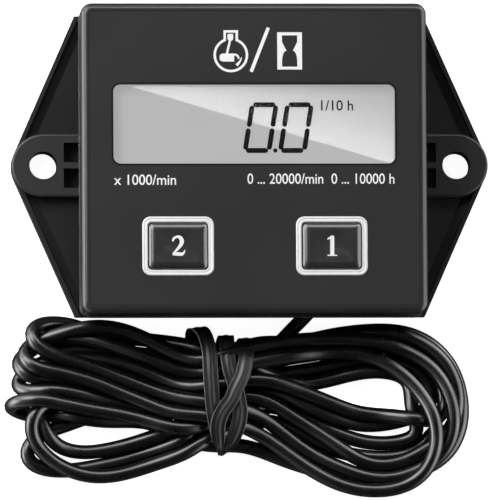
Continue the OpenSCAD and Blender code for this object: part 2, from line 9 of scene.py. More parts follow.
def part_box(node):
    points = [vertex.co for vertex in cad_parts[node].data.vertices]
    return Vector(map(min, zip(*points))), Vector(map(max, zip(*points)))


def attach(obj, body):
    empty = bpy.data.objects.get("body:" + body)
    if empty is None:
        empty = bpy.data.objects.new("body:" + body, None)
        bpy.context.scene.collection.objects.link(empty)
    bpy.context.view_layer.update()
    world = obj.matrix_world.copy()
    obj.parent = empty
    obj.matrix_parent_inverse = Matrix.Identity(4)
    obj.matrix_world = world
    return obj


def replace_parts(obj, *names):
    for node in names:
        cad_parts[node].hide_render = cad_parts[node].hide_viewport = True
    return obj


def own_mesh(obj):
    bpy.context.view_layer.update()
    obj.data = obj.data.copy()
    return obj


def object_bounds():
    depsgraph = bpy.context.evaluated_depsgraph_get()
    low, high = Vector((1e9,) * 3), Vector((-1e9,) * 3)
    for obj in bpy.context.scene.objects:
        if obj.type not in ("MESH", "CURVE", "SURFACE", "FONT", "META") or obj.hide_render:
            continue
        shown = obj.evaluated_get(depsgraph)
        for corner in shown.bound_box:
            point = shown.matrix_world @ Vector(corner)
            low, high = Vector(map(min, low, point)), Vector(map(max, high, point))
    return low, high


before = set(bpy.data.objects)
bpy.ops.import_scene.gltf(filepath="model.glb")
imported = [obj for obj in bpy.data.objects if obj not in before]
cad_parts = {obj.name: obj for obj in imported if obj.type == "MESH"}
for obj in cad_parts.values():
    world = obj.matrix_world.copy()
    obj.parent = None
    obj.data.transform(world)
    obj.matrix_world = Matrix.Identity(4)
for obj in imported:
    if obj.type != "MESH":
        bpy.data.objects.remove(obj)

cad_low, cad_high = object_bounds()
MM = 0.001


def box_of(node):
    """A node's lowest and highest corner, in millimetres."""
    low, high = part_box(node)
    return np.array(low) / MM, np.array(high) / MM


def add_object(name, data):
    """An object of the scene that holds some data."""
    made = bpy.data.objects.new(name, data)
    bpy.context.scene.collection.objects.link(made)
    return made


# Camera: the angle, the distance and the width of the view at the object
VIEW_FROM = Vector((-0.0596, -0.0928, 0.993)).normalized()
VIEW_TURN = -0.36
VIEW_DISTANCE = 1.9
VIEW_CENTRE = Vector((-0.08, -12.35, 4)) * MM
VIEW_WIDTH = 72.47 * MM
SENSOR = 36.0


def place_camera():
    """A long lens looks down on the face, with +Y nearly up in the picture."""
    data = bpy.data.cameras.new("camera")
    data.sensor_width = SENSOR
    data.lens = SENSOR * VIEW_DISTANCE / VIEW_WIDTH
    data.clip_start = 0.01
    data.clip_end = 20
    camera = add_object("camera", data)
    across = Vector((0, 1, 0)).cross(VIEW_FROM).normalized()
    up = VIEW_FROM.cross(across)
    turn = Matrix((across, up, VIEW_FROM)).transposed().to_4x4() @ Matrix.Rotation(radians(VIEW_TURN), 4, "Z")
    camera.matrix_world = Matrix.Translation(VIEW_CENTRE + VIEW_FROM * VIEW_DISTANCE) @ turn
    bpy.context.scene.camera = camera


# Shapes

def unit(vectors):
    """The same directions, with length 1."""
    return vectors / np.linalg.norm(vectors, axis=-1, keepdims=True)


def at_height(outline, height):
    """A flat outline as points in space, at one height or one for each point."""
    return np.column_stack([outline, np.broadcast_to(height, len(outline))])


def grid_faces(rows, columns, rows_close=False):
    """Quads between the rings of a grid whose columns close on themselves, and its rows too if asked."""
    row = np.arange(rows if rows_close else rows - 1)[:, None]
    column = np.arange(columns)[None]
    beside = (column + 1) % columns
    here = row * columns
    after = (row + 1) % rows * columns
    return np.stack([here + column, here + beside, after + beside, after + column], -1).reshape(-1, 4)


def make_piece(name, points, faces, finish, body="meter", smooth=True, uv=None, turn_out=True):
    """A mesh from points in millimetres, with its finish, that rides on a body."""
    mesh = bpy.data.meshes.new(name)
    mesh.from_pydata((np.asarray(points) * MM).tolist(), [], [list(f) for f in faces])
    if uv is not None:
        corners = np.zeros(len(mesh.loops), np.int32)
        mesh.loops.foreach_get("vertex_index", corners)
        layer = mesh.uv_layers.new(name="along")
        layer.data.foreach_set("uv", np.asarray(uv)[corners].astype(np.float32).ravel())
    if turn_out:
        shell = bmesh.new()
        shell.from_mesh(mesh)
        bmesh.ops.remove_doubles(shell, verts=shell.verts, dist=1e-7)
        bmesh.ops.recalc_face_normals(shell, faces=shell.faces)
        shell.to_mesh(mesh)
        shell.free()
    mesh.polygons.foreach_set("use_smooth", [smooth] * len(mesh.polygons))
    piece = add_object(name, mesh)
    mesh.materials.append(finish)
    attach(piece, body)
    return piece


def rings_to_solid(rings):
    """A closed solid from rings of points: quads between them, and one face at each end."""
    count, sides = rings.shape[:2]
    faces = grid_faces(count, sides).tolist()
    faces += [list(range(sides))[::-1], list(range((count - 1) * sides, count * sides))]
    return rings.reshape(-1, 3), faces


def rings_to_loop(rings):
    """A closed solid whose last ring joins its first, as round a hole."""
    count, sides = rings.shape[:2]
    return rings.reshape(-1, 3), grid_faces(count, sides, rows_close=True).tolist()


def join_solids(solids):
    """Several (points, faces) pairs as one."""
    points, faces = [], []
    start = 0
    for part_points, part_faces in solids:
        points.append(part_points)
        faces += [[index + start for index in face] for face in part_faces]
        start += len(part_points)
    return np.vstack(points), faces


def arc(centre, radius, start, end, steps):
    """Points on a circle between two angles, in degrees."""
    angle = np.radians(np.linspace(start, end, steps))
    return np.asarray(centre) + radius * np.stack([np.cos(angle), np.sin(angle)], 1)


def round_rect(width, height, radius, corner_steps=10, side_steps=0):
    """The outline of a rectangle whose corners are quarter circles, from its centre. Points along the
    straight sides are added if asked."""
    reach = np.array([width, height]) / 2 - radius
    corners = [arc(reach * side, radius, 90 * k, 90 * k + 90, corner_steps + 1)
               for k, side in enumerate(((1, 1), (-1, 1), (-1, -1), (1, -1)))]
    part = np.arange(side_steps + 1)[1:, None] / (side_steps + 1)
    sides = [corners[k][-1] + (corners[(k + 1) % 4][0] - corners[k][-1]) * part for k in range(4)]
    return np.vstack([points for pair in zip(corners, sides) for points in pair])


def band_between(left, right, low, high, closed):
    """A flat solid between two lines that run side by side."""
    rings = np.stack([
        at_height(left, low), at_height(left, high), at_height(right, high), at_height(right, low)], 1)
    return rings_to_loop(rings) if closed else rings_to_solid(rings)


def ribbon(path, width, low, high, closed=False):
    """A flat stroke: the path's points moved half the width to each side, along mitred normals."""
    path = np.asarray(path, float)
    width = np.broadcast_to(np.asarray(width, float), len(path))[:, None]
    if closed:
        before, after = np.roll(path, 1, 0), np.roll(path, -1, 0)
    else:
        before = np.vstack([2 * path[0] - path[1], path[:-1]])
        after = np.vstack([path[1:], 2 * path[-1] - path[-2]])
    come = unit(path - before)
    along = unit(come + unit(after - path))
    mitre = 1 / np.maximum((come * along).sum(1, keepdims=True), 0.5)
    normal = np.stack([-along[:, 1], along[:, 0]], 1) * mitre * width / 2
    return band_between(path + normal, path - normal, low, high, closed)


def plate(outline, low, high):
    """A flat plate with straight edges, from its outline."""
    return rings_to_solid(np.stack([at_height(outline, low), at_height(outline, high)]))


def spline(points, steps):
    """A smooth curve through the points: a Catmull-Rom spline."""
    points = np.asarray(points, float)
    points = np.vstack([2 * points[0] - points[1], points, 2 * points[-1] - points[-2]])
    a, b, c, d = points[:-3, None], points[1:-2, None], points[2:-1, None], points[3:, None]
    t = (np.arange(steps) / steps)[None, :, None]
    curve = b + 0.5 * ((c - a) * t + (2 * a - 5 * b + 4 * c - d) * t**2 + (3 * b - a - 3 * c + d) * t**3)
    return np.vstack([curve.reshape(-1, points.shape[1]), points[-2][None]])


def evenly(curve, step):
    """The same curve with its points about a step apart."""
    run = np.concatenate([[0], np.cumsum(np.linalg.norm(np.diff(curve, axis=0), axis=1))])
    places = np.linspace(0, run[-1], int(round(run[-1] / step)) + 1)
    return np.stack([np.interp(places, run, column) for column in curve.T], 1)


# Finishes

class Value:
    """A socket in sums: each operator adds a Math node."""

    def __init__(self, tree, socket):
        self.tree = tree
        self.socket = socket

    def math(self, operation, *others):
        return self.tree.node("ShaderNodeMath", {"operation": operation}, self, *others).out()

    def __add__(self, other):
        return self.math("ADD", other)

    def __sub__(self, other):
        return self.math("SUBTRACT", other)

    def __mul__(self, other):
        return self.math("MULTIPLY", other)

    def __rsub__(self, other):
        return self * -1 + other

    __radd__ = __add__
    __rmul__ = __mul__

    def ramp(self, low, high):
        """0 below low, 1 above high, and smooth between them."""
        settings = {"interpolation_type": "SMOOTHSTEP"}
        return self.tree.node("ShaderNodeMapRange", settings, self, low, high, 0.0, 1.0).out("Result")


class Made:
    """A node that was added, and its outputs."""

    def __init__(self, tree, node):
        self.tree = tree
        self.node = node

    def out(self, name=0):
        return Value(self.tree, self.node.outputs[name])


class Tree:
    """The node tree of a material or of the world."""

    def __init__(self, owner):
        owner.use_nodes = True
        self.owner = owner
        self.nodes = owner.node_tree.nodes
        self.links = owner.node_tree.links
        self.nodes.clear()

    def fill(self, socket, value):
        if isinstance(value, Value):
            self.links.new(value.socket, socket)
        else:
            socket.default_value = value

    def node(self, kind, settings=None, *values, **named):
        """Adds a node of a type: its settings come first, then what its sockets take."""
        node = self.nodes.new(kind)
        for key, setting in (settings or {}).items():
            setattr(node, key, setting)
        for socket, value in zip(node.inputs, values):
            self.fill(socket, value)
        for name, value in named.items():
            self.fill(node.inputs[name.replace("_", " ")], value)
        return Made(self, node)

    def place(self):
        """The point on the piece, in metres."""
        return self.node("ShaderNodeTexCoord").out("Object")

    def noise(self, size, detail=2.0, rough=0.5):
        """Noise from 0 to 1 whose blobs are about a size across, in millimetres."""
        made = self.node("ShaderNodeTexNoise", None, Vector=self.place(), Scale=1 / (size * MM),
                         Detail=detail, Roughness=rough)
        return made.out("Fac")

    def streaks(self, detail, *places):
        """Noise drawn out into lines, by two or three places that are each scaled otherwise."""
        vector = self.node("ShaderNodeCombineXYZ", None, *places, *[0.0] * (3 - len(places))).out()
        made = self.node("ShaderNodeTexNoise", {"noise_dimensions": f"{len(places)}D"},
                         Scale=1.0, Detail=detail, Vector=vector)
        return made.out("Fac")

    def parts(self, vector):
        """A vector's three numbers."""
        made = self.node("ShaderNodeSeparateXYZ", None, vector)
        return made.out("X"), made.out("Y"), made.out("Z")

    def mix(self, factor, first, second):
        """A colour between two, by a factor."""
        made = self.node("ShaderNodeMix", {"data_type": "RGBA"})
        self.fill(made.node.inputs["Factor"], factor)
        self.fill(made.node.inputs[6], first)
        self.fill(made.node.inputs[7], second)
        return made.out(2)

    def bump(self, height, depth, strength):
        """The normal of a surface whose height runs from 0 to a depth, in millimetres."""
        made = self.node("ShaderNodeBump", None, Strength=strength, Distance=depth * MM, Height=height)
        return made.out("Normal")

    def glow(self, strength):
        """White light of a strength."""
        return self.node("ShaderNodeEmission", None, Color=grey(1.0), Strength=strength).out("Emission")

    def surface(self, **sockets):
        """Closes the tree with one Principled shader."""
        shader = self.node("ShaderNodeBsdfPrincipled", None, **sockets)
        self.finish(shader.out("BSDF"))
        return self.owner

    def finish(self, shader):
        """Joins a shader to the output of the material or the world."""
        kind = "World" if isinstance(self.owner, bpy.types.World) else "Material"
        self.node("ShaderNodeOutput" + kind, None, Surface=shader)


def new_tree(name):
    return Tree(bpy.data.materials.new(name))


def grey(level):
    """A colour without a tint."""
    return (level, level, level, 1.0)


def moulded_black(name, tone, rough, shine=0.3, other=None, painted_light_heights=(0, 1)):
    """Black moulded plastic with a fine spark-eroded grain, a little uneven in gloss. Below the first of two
    heights in millimetres it is painted another tone, which stands for light and shade on the lower parts: a
    painted highlight where it is paler, painted shade where it is darker."""
    tree = new_tree(name)
    texture = tree.noise(0.22, 3.0, 0.55)
    cloud = tree.noise(9, 2.0)
    # Below the heights the tone turns to the other one: painted light, standing for how light falls on the
    # lower parts
    if other is not None:
        _, _, z = tree.parts(tree.place())
        tone = other + (tone - other) * z.ramp(painted_light_heights[0] * MM, painted_light_heights[1] * MM)
    level = tone * (0.92 + 0.18 * cloud.ramp(0.3, 0.75))
    colour = tree.node("ShaderNodeCombineColor", None, level, level, level).out("Color")
    return tree.surface(
        Base_Color=colour, Roughness=rough + 0.08 * cloud + 0.05 * texture,
        Normal=tree.bump(texture, 0.012, 0.5), Specular_IOR_Level=shine)


def printed_film():
    """Satin dark film under a clear hard coat, with a very fine grain."""
    tree = new_tree("printed_film")
    grain = tree.noise(0.12, 2.0)
    cloud = tree.noise(14, 1.0)
    colour = tree.mix(cloud.ramp(0.3, 0.7), grey(0.024), grey(0.0255))
    return tree.surface(Base_Color=colour, Roughness=0.36 + 0.06 * cloud,
                        Normal=tree.bump(grain, 0.003, 0.4), Specular_IOR_Level=0.22)


def clear_window():
    """Clear pane: it lets the light by, and mirrors by its angle, with a faint haze of fine scratches."""
    tree = new_tree("clear_window")
    scratch = tree.noise(0.6, 4.0, 0.7)
    facing = tree.node("ShaderNodeLayerWeight", None, Blend=0.5).out("Facing")
    shine = 0.002 + 0.99 * facing.math("POWER", 5.0)
    through = tree.node("ShaderNodeBsdfTransparent", None, Color=grey(0.975)).out("BSDF")
    mirror = tree.node("ShaderNodeBsdfAnisotropic", {"distribution": "GGX"}, Color=grey(1.0), Roughness=0.03,
                       Normal=tree.bump(scratch, 0.0004, 0.15)).out("BSDF")
    tree.finish(tree.node("ShaderNodeMixShader", None, shine, through, mirror).out("Shader"))
    return tree.owner


def glowing_display_glass():
    """The grey field of the display: a matt reflector under polished glass, whose gloss is its coat. It glows
    in its own grey as painted light, which fills the shade of the window's recess.
    """
    tree = new_tree("glowing_display_glass")
    speck = tree.noise(0.08, 2.0)
    cloud = tree.noise(12, 1.0)
    colour = tree.mix(cloud, grey(0.15), grey(0.156))
    # The emission makes the field glow with no lamp behind it: painted light that evens out the recess's
    # shade
    return tree.surface(Base_Color=colour, Roughness=0.5 + 0.08 * speck, Normal=tree.bump(speck, 0.001, 0.3),
                        Specular_IOR_Level=0.05, Coat_Weight=1.0, Coat_Roughness=0.004,
                        Emission_Color=colour, Emission_Strength=2.55)


def glossy_key():
    """Glossy black key, with the slight waves of a moulded face and rubbed gloss in the middle."""
    tree = new_tree("glossy_key")
    wave = tree.noise(2.6, 2.0)
    wear = tree.noise(0.7, 4.0, 0.6)
    colour = tree.mix(wave.ramp(0.3, 0.7), grey(0.024), grey(0.032))
    return tree.surface(Base_Color=colour, Roughness=0.2 + 0.1 * wear, Normal=tree.bump(wave, 0.02, 0.4),
                        Coat_Weight=0.25, Coat_Roughness=0.12)


def drawn_plastic(name, tone, rough, cloud_rough, line_rough, cloud_size, lines_at, detail, depth, strength):
    """Black plastic with faint lines along it, and a little cloudy in tone and gloss."""
    tree = new_tree(name)
    u, v, _ = tree.parts(tree.node("ShaderNodeTexCoord").out("UV"))
    lines = tree.streaks(detail, u * lines_at[0], v * lines_at[1])
    cloud = tree.noise(cloud_size, 3.0)
    return tree.surface(
        Base_Color=tree.mix(cloud.ramp(0.3, 0.75), grey(tone), grey(2 * tone)),
        Roughness=rough + cloud_rough * cloud + line_rough * lines, Normal=tree.bump(lines, depth, strength))


def soft_rubber(name, tone):
    """Matt black rubber with a bloom."""
    return speckled(name, grey(tone), grey(tone * 1.8), 1.2, 0.6, spread=0.2, depth=0.02, strength=0.4,
                    coarse=0.6, turn=(0.35, 0.8))


def plated_metal(name, colour_low, colour_high, rough):
    """Plated metal with fine brushing and dull spots."""
    tree = new_tree(name)
    x, y, z = tree.parts(tree.place())
    brushed = tree.streaks(3.0, x * 900, y * 9000, z * 9000)
    spots = tree.noise(1.5, 4.0, 0.6)
    colour = tree.mix(spots.ramp(0.35, 0.7), colour_low, colour_high)
    return tree.surface(Base_Color=colour, Metallic=1.0, Roughness=rough + 0.15 * spots,
                        Normal=tree.bump(brushed, 0.006, 0.4))


def board_laminate():
    """Green laminate with copper runs under the lacquer."""
    tree = new_tree("board_laminate")
    weave = tree.noise(0.3, 2.0)
    course = tree.node("ShaderNodeTexBrick", {"offset": 0.37, "squash": 0.6}, Vector=tree.place(), Scale=1.0,
                       Mortar_Size=0.00022, Brick_Width=0.0056, Row_Height=0.0019)
    runs = course.out("Fac")
    colour = tree.mix(runs, (0.008, 0.075, 0.026, 1), (0.03, 0.17, 0.06, 1))
    return tree.surface(Base_Color=colour, Roughness=0.3 + 0.15 * weave,
                        Normal=tree.bump(runs + 0.2 * weave, 0.02, 0.4))


def speckled(name, low, high, size, rough, spread=0.12, depth=None, strength=0.5, detail=4.0, coarse=0.65,
             turn=(0.35, 0.7), **more):
    """Two close tones in grains or clouds of a size, whose gloss and height follow them: ink, plastic,
    resin, ceramic, foam or rubber."""
    tree = new_tree(name)
    grain = tree.noise(size, detail, coarse)
    return tree.surface(
        Base_Color=tree.mix(grain.ramp(*turn), low, high), Roughness=rough + spread * grain,
        Normal=tree.bump(grain, depth or size * 0.06, strength), **more)


def layered_rubber():
    """Contact strip: thin conducting layers between insulating ones, along X."""
    tree = new_tree("layered_rubber")
    x, _, _ = tree.parts(tree.place())
    layer = (x * 6000).math("SINE").ramp(-0.3, 0.3)
    soft = tree.noise(0.4, 3.0)
    colour = tree.mix(layer, (0.55, 0.26, 0.3, 1), (0.05, 0.045, 0.05, 1))
    return tree.surface(Base_Color=colour, Roughness=0.55 + 0.15 * soft, Normal=tree.bump(layer, 0.01, 0.4))


# Paler below 9.9 to 10.5 mm: a painted highlight for the light lines along the case's lower side walls
CASE = moulded_black("case_plastic", 0.032, 0.18, 0.3, 0.12, (9.9, 10.5))
# Darker below 2.3 to 3.6 mm: painted shade in the webs and hollows round the raised pads
BASE = moulded_black("base_plastic", 0.03, 0.3, 0.25, 0.0125, (2.3, 3.6))
LABEL = printed_film()
SMOOTH_WHITE = {"depth": 0.002, "strength": 0.3, "detail": 3.0, "turn": (0.3, 0.7)}
WHITE_INK = speckled("white_ink", grey(0.93), grey(1.0), 0.35, 0.5, 0.1, coarse=0.6, **SMOOTH_WHITE)
WINDOW = clear_window()
GLASS = glowing_display_glass()
SEGMENT = speckled("display_ink", grey(0.002), grey(0.004), 0.5, 0.5, 0.1, 0.001, 0.3, Specular_IOR_Level=0.1)
FRAME = speckled("frame_white", grey(0.83), grey(0.88), 0.8, 0.28, 0.08, coarse=0.5, **SMOOTH_WHITE)
KEY = glossy_key()
JACKET = drawn_plastic("lead_jacket", 0.002, 0.2, 0.1, 0.05, 3.0, (60, 24), 3.0, 0.01, 0.3)
TIE = drawn_plastic("tie_plastic", 0.003, 0.27, 0.12, 0.0, 1.8, (40, 14), 2.0, 0.03, 0.4)
STEEL = plated_metal("zinc_plate", (0.5, 0.51, 0.53, 1), (0.66, 0.66, 0.66, 1), 0.28)
CELL = plated_metal("cell_can", (0.62, 0.62, 0.62, 1), (0.78, 0.78, 0.77, 1), 0.2)
SPRING = plated_metal("spring_plate", (0.66, 0.62, 0.5, 1), (0.8, 0.77, 0.66, 1), 0.22)
SOLDER = plated_metal("solder_joint", (0.6, 0.6, 0.62, 1), (0.8, 0.8, 0.82, 1), 0.18)
STRIP = layered_rubber()
SWITCH = moulded_black("switch_plastic", 0.02, 0.4)
STEM = speckled("stem_plastic", (0.55, 0.54, 0.5, 1), (0.66, 0.65, 0.6, 1), 0.3, 0.35)
NODE_FINISHES = {
    "front_case": CASE, "rear_base": BASE, "case_gasket": soft_rubber("seal_rubber", 0.012),
    "case_screws": STEEL, "face_label": LABEL, "display_window": WINDOW, "lcd_panel": GLASS,
    "lcd_holder": speckled("holder_white", grey(0.62), grey(0.72), 0.4, 0.4),
    "contact_strip_upper": STRIP, "contact_strip_lower": STRIP, "circuit_board": board_laminate(),
    "board_screws": STEEL, "chip_cover": speckled("black_resin", grey(0.01), grey(0.02), 0.3, 0.22),
    "crystal_can": CELL, "resistors": speckled("resistor_film", grey(0.012), grey(0.04), 0.2, 0.35),
    "capacitors": speckled("tan_ceramic", (0.42, 0.29, 0.17, 1), (0.52, 0.38, 0.24, 1), 0.2, 0.4),
    "battery": CELL, "battery_tab_positive": SPRING, "battery_tab_negative": SPRING,
    "battery_pad": speckled("closed_foam", grey(0.03), grey(0.07), 0.35, 0.75),
    "switch_body_s1": SWITCH, "switch_body_s2": SWITCH, "switch_stem_s1": STEM, "switch_stem_s2": STEM,
    "lead_grommet": soft_rubber("bush_rubber", 0.008), "lead_inner": JACKET, "lead_solder": SOLDER,
}


def dress_nodes():
    """Gives each CAD node that shows its finish."""
    for node, finish in NODE_FINISHES.items():
        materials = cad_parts[node].data.materials
        materials.clear()
        materials.append(finish)


# Snap domes under the keys: the sheet's thickness, in millimetres

DOME_T = 0.1


def snap_dome(node):
    """A cap of a hollow ball on the floor of its switch, which flattens as its key goes down."""
    low, high = box_of(node)
    middle = (low + high) / 2
    reach, rise = (high[0] - low[0]) / 2, high[2] - low[2]
    ball = (reach**2 + rise**2) / (2 * rise)
    inner = ball - DOME_T
    steps, pole = 14, 0.02
    rim, hollow = np.arcsin(reach / ball), np.arccos((ball - rise) / inner)
    radius = np.repeat([ball, inner], steps)
    angle = np.concatenate([np.linspace(pole, rim, steps), np.linspace(hollow, pole, steps)])
    turn = np.arange(36) / 36 * 2 * np.pi
    away = (radius * np.sin(angle))[:, None]
    rings = np.stack([
        middle[0] + away * np.cos(turn), middle[1] + away * np.sin(turn),
        (high[2] - ball + radius * np.cos(angle))[:, None] + 0 * turn], -1)
    points, faces = rings_to_solid(rings)
    dome = make_piece(node + "_cap", points, faces, SPRING)
    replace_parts(dome, node)
    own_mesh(dome)


# Lead: its route from the case, then the turns of its hank. Points are [x, y, height]

LEAD_D = 2.1
LEAD_STEP = 0.7
LEAD_SIDES = 16
LEAD_ROUTE = [
    [10.8, -13.3, 3.4], [10.8, -15, 3.2], [10.7, -17, 2.7], [10.2, -18.8, 2.1],
    [9.3, -20.3, 1.6], [8, -21.8, 1.3], [6.6, -23.2, 1.15], [5, -24.8, 1.1], [2.5, -27, 1.1],
]
# A turn to the left or right of the tie runs from the tie round its far end and back
TURNS_LEFT = {
    "top": [
        [-8.7, -26.7, 1.2], [-16, -25.1, 1.3], [-22.5, -24.3, 1.8], [-26.1, -23.5, 2.6],
        [-29.3, -22.8, 3.2], [-31.6, -23.8, 3.7], [-32.4, -25.2, 4.5], [-30.4, -26.8, 5.2],
        [-26.9, -28.2, 5.4], [-20.3, -30.6, 5], [-14, -32.9, 4.7], [-8.9, -34.6, 4.5],
    ],
    "second": [
        [-8.9, -28.7, 4.4], [-12.3, -26.8, 4.6], [-15.6, -25.1, 4.8], [-20.2, -23.6, 4.8],
        [-23.8, -23.6, 4.2], [-27, -24.6, 2.6], [-30.2, -25.2, 1.8], [-32.8, -26.8, 2.4],
        [-33.3, -28.6, 3.7], [-30.8, -29.9, 4.5], [-26.6, -30.2, 4.5], [-20.2, -32.6, 4.2],
        [-14, -35.3, 4.2], [-8.9, -37, 4.2],
    ],
    "third": [
        [-8.9, -30.6, 4], [-14, -28.6, 4], [-19.1, -26.6, 3.9], [-23.6, -25.2, 3], [-28.4, -25.1, 1.8],
        [-31.5, -26.7, 1.1], [-32.9, -28.1, 1.3], [-33.6, -29.2, 2.5], [-33, -30.2, 3.7], [-31.2, -30.8, 4],
        [-27.7, -31.1, 3.4], [-22.6, -32, 2.2], [-15.3, -32.2, 1.5], [-8.7, -32.8, 1.3],
    ],
    "fourth": [
        [-8.9, -32.5, 3.7], [-14.7, -29.9, 3.7], [-21.3, -28.3, 3.2], [-27.1, -28.3, 2], [-31.1, -29, 1.1],
        [-32.9, -29.9, 1.1], [-34, -31.2, 2], [-33.8, -32.5, 3.4], [-31.8, -32.8, 4.2], [-27.5, -32.8, 3.5],
        [-22.2, -33.5, 2.9], [-14.6, -35.7, 2.5], [-8.8, -36.6, 2.4],
    ],
    "middle": [
        [-8.9, -38.6, 1.7], [-16.3, -36.9, 2], [-21.9, -37.1, 2.2], [-27.7, -36.3, 1.4],
        [-31.4, -35.7, 1.2], [-34, -35.4, 1.6], [-35.2, -35, 3.4], [-34.4, -34.6, 5.2], [-31.5, -34.4, 5.8],
        [-26.8, -34.9, 5.2], [-22.6, -35.6, 4.7], [-15.6, -36.9, 4.4], [-9, -38.7, 4.2],
    ],
    "front": [
        [-8.7, -29.2, 1.1], [-16, -30.4, 1.1], [-24.7, -32.4, 1.1], [-29.9, -34.5, 1.3],
        [-31.9, -36.9, 1.8], [-31.5, -39.2, 2.7], [-30.5, -41.6, 3], [-28.2, -43.2, 2.9],
        [-25.4, -44.7, 2.9], [-22.3, -45.1, 3], [-18.8, -44.8, 3.1], [-13.3, -43, 3.3], [-9, -41.4, 3.4],
    ],
    "lowest": [
        [-8.8, -33.4, 2.2], [-14.6, -34.6, 1.8], [-20.4, -35.8, 1.5], [-25.3, -36.8, 1.3],
        [-29.2, -38.2, 1.1], [-32.3, -40.6, 1.1], [-33, -42.2, 1.1], [-31.4, -43.4, 1.1],
        [-27.9, -44.1, 1.1], [-23.9, -43.9, 1.1], [-21, -43, 1.1], [-18.3, -42.6, 1.2], [-15.4, -41.6, 1.5],
        [-12.5, -40.6, 1.8], [-8.9, -39, 2.2],
    ],
    "inner": [
        [-8.7, -27.8, 1.1], [-14.5, -27.2, 1.1], [-20.3, -26.8, 1.1], [-25, -26.4, 1.1],
        [-29.4, -26.9, 1.1], [-31.1, -28.8, 1.1], [-31, -32, 1.1], [-30.6, -35.2, 1.2], [-29.5, -39.6, 1.5],
        [-26.8, -41.2, 1.7], [-23, -41.5, 1.8], [-18.9, -40.95, 2], [-14.3, -39.3, 2.2], [-8.9, -37.5, 2.4],
    ],
}
TURNS_RIGHT = {
    "front": [
        [-0.5, -28.3, 4.2], [2.7, -27.8, 4.5], [6.2, -27.4, 4.7], [14.3, -27.2, 5], [17.8, -28.1, 5.2],
        [21, -29.8, 5.4], [23.9, -32.5, 5.4], [25.8, -35.7, 5.4], [26.8, -39.3, 5.4], [26.3, -42.5, 5.2],
        [24.3, -45.5, 4.9], [21.7, -46.7, 4.5], [17.5, -47.3, 4.4], [13, -46.5, 4.2], [8.7, -44.3, 4],
        [5.2, -41.9, 4], [1.4, -39.2, 4], [-0.5, -38, 4],
    ],
    "second": [
        [-0.4, -27.7, 3.5], [2.7, -27.1, 3.9], [6.2, -26, 4], [12, -25.4, 4.4], [16.7, -25.5, 4.5],
        [20.1, -26.3, 4.5], [24.7, -28.3, 4.5], [27.6, -31.2, 4.5], [28.9, -34.3, 4.5], [29.4, -37.4, 4.4],
        [28.4, -40.8, 4], [25.8, -43.1, 3.5], [22.3, -44.9, 3.2], [17.6, -45.2, 3], [13.2, -44, 3],
        [8.5, -41.8, 3.2], [3.8, -38.4, 3.4], [-0.5, -35.2, 3.5],
    ],
    "outer": [
        [-0.3, -28, 1.7], [2.9, -27.3, 1.5], [7.3, -25.7, 1.3], [12.3, -24.5, 1.5], [18.1, -23.9, 1.8],
        [22.8, -24.2, 2.2], [26.8, -26.3, 2.4], [29.4, -29.5, 2.5], [30.4, -32.6, 2.5], [30.6, -35.9, 2.4],
        [30, -39.5, 2], [27.5, -42.7, 1.5], [21.7, -45, 1.1], [14.4, -45.2, 1.1], [6.7, -43.3, 1.1],
        [2.8, -42, 1.1], [-0.4, -40.2, 1.1],
    ],
    "third": [
        [-0.4, -27.8, 2.4], [5.7, -26.5, 2.5], [13, -24.8, 2.9], [19.5, -24.4, 3.2], [23.6, -25.1, 3.4],
        [27, -27.5, 3.5], [29.4, -31, 3.5], [30, -34.7, 3.4], [29.2, -38.2, 2.9], [26.6, -40.3, 2.4],
        [22.9, -42.8, 2.2], [19.4, -43.8, 2.2], [16.3, -43.4, 2.4], [13.2, -41.2, 2.5], [8.5, -38.1, 2.7],
        [3.9, -35.3, 2.9], [-0.4, -33.1, 3.2],
    ],
    "middle": [
        [-0.3, -28.8, 1.1], [5.8, -28, 1.1], [14.5, -26.9, 1.1], [21.1, -26.8, 1.3], [25.4, -28.6, 1.5],
        [27.6, -31.9, 1.7], [28.1, -35.6, 1.7], [27.3, -37.4, 1.7], [24.8, -36.9, 1.8], [21.2, -36.4, 2],
        [17.7, -36.2, 2.4], [14.3, -35.8, 3.2], [10.8, -34.3, 3.9], [6.2, -32.5, 4.2], [2.7, -31.2, 4.4],
        [-0.5, -30.2, 4.4],
    ],
    "inner": [
        [-0.4, -29.1, 2.4], [2.8, -30.7, 2.2], [6.8, -31.7, 2], [10.7, -31.3, 1.8], [14.2, -30.2, 1.8],
        [17.7, -29.6, 1.8], [20.6, -30.1, 1.8], [23, -30.7, 2], [23.6, -32.4, 1.9], [22.5, -34.3, 1.7],
        [23.1, -36.3, 1.5], [24.8, -38.2, 1.3], [23.8, -40, 1.1], [19.9, -40.5, 1.1], [15.7, -39.95, 1.1],
        [12.3, -38.05, 1.1], [8.3, -36.4, 1.1], [4.7, -35.1, 1.1], [-0.3, -33.8, 1.2],
    ],
    "lowest": [
        [-0.3, -32.1, 1.8], [2.9, -32.8, 1.5], [7.3, -34.8, 1.3], [11.8, -36.8, 1.3], [16.2, -37.7, 1.3],
        [21.4, -37, 1.2], [25.5, -35.6, 1.1], [26.7, -32.8, 1.1], [24.9, -29.8, 1.1], [20.4, -28.2, 1.1],
        [14.5, -28.3, 1.1], [7.3, -29.3, 1.1], [2.9, -29.9, 1.1], [-0.3, -30.1, 1.3],
    ],
    "bare_end": [
        [-0.4, -36, 1.2], [2.8, -36.9, 1.1], [5.7, -37.9, 1.1], [8.9, -39.6, 1.1], [12.4, -41.4, 1.1],
        [16, -42.1, 1.1], [20, -42.3, 1.1], [23.4, -41.4, 1.1], [25.8, -39.9, 1.1], [26.8, -38.8, 1.1],
    ],
}
# The order in which the lead runs through its turns, each forwards or backwards
TURN_ORDER = [
    ("lowest", 1), ("lowest", 1), ("inner", -1), ("outer", 1), ("middle", 1), ("inner", -1), ("top", 1),
    ("second", -1), ("second", 1), ("front", -1), ("third", 1), ("middle", 1), ("fourth", 1), ("third", -1),
    ("front", 1), ("bare_end", 1),
]
HANK_STEP = 1.08
HANK_ROUNDS = 300
